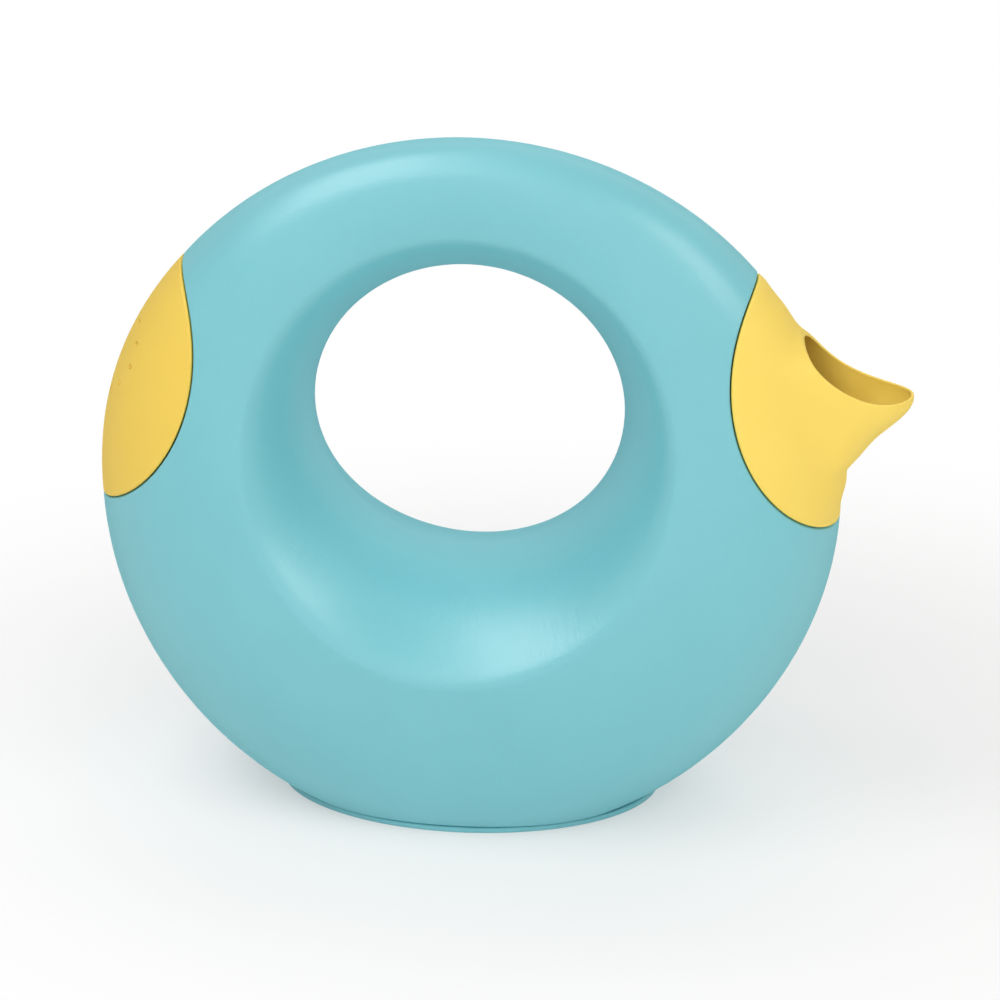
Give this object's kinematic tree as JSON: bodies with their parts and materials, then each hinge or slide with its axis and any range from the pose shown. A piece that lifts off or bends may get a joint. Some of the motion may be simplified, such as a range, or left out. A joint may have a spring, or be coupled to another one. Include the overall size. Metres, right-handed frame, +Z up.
{
  "type": "watering can",
  "caption": "Ring-shaped watering can: a hollow ring held through its middle, with a pull-off beaked pouring spout at one end and a pull-off drip rose at the other.",
  "frame": {"origin": "middle of the underside of the foot plate, where the can stands", "axes": "+X along the can towards the spout, +Z up, +Y to the left of someone who faces along +X"},
  "size_m": [0.2325, 0.0934, 0.1975],
  "materials": {
    "body": "satin turquoise",
    "insert": "matte yellow",
    "seal": "matte grey"
  },
  "bodies": {
    "can": {"body_right_half": "body", "body_left_half": "body", "base_plate": "body"},
    "pull_off_spout": {"spout": "insert", "spout_seal": "seal"},
    "pull_off_rose": {"rose": "insert", "rose_seal": "seal"}
  },
  "joints": [
    {"name": "spout_pull", "type": "slide", "parent": "can", "child": "pull_off_spout", "axis": [0.9466, 0, 0.3223], "range_m": [0, 0.03]},
    {"name": "rose_pull", "type": "slide", "parent": "can", "child": "pull_off_rose", "axis": [-0.9466, 0, 0.3223], "range_m": [0, 0.03]}
  ]
}
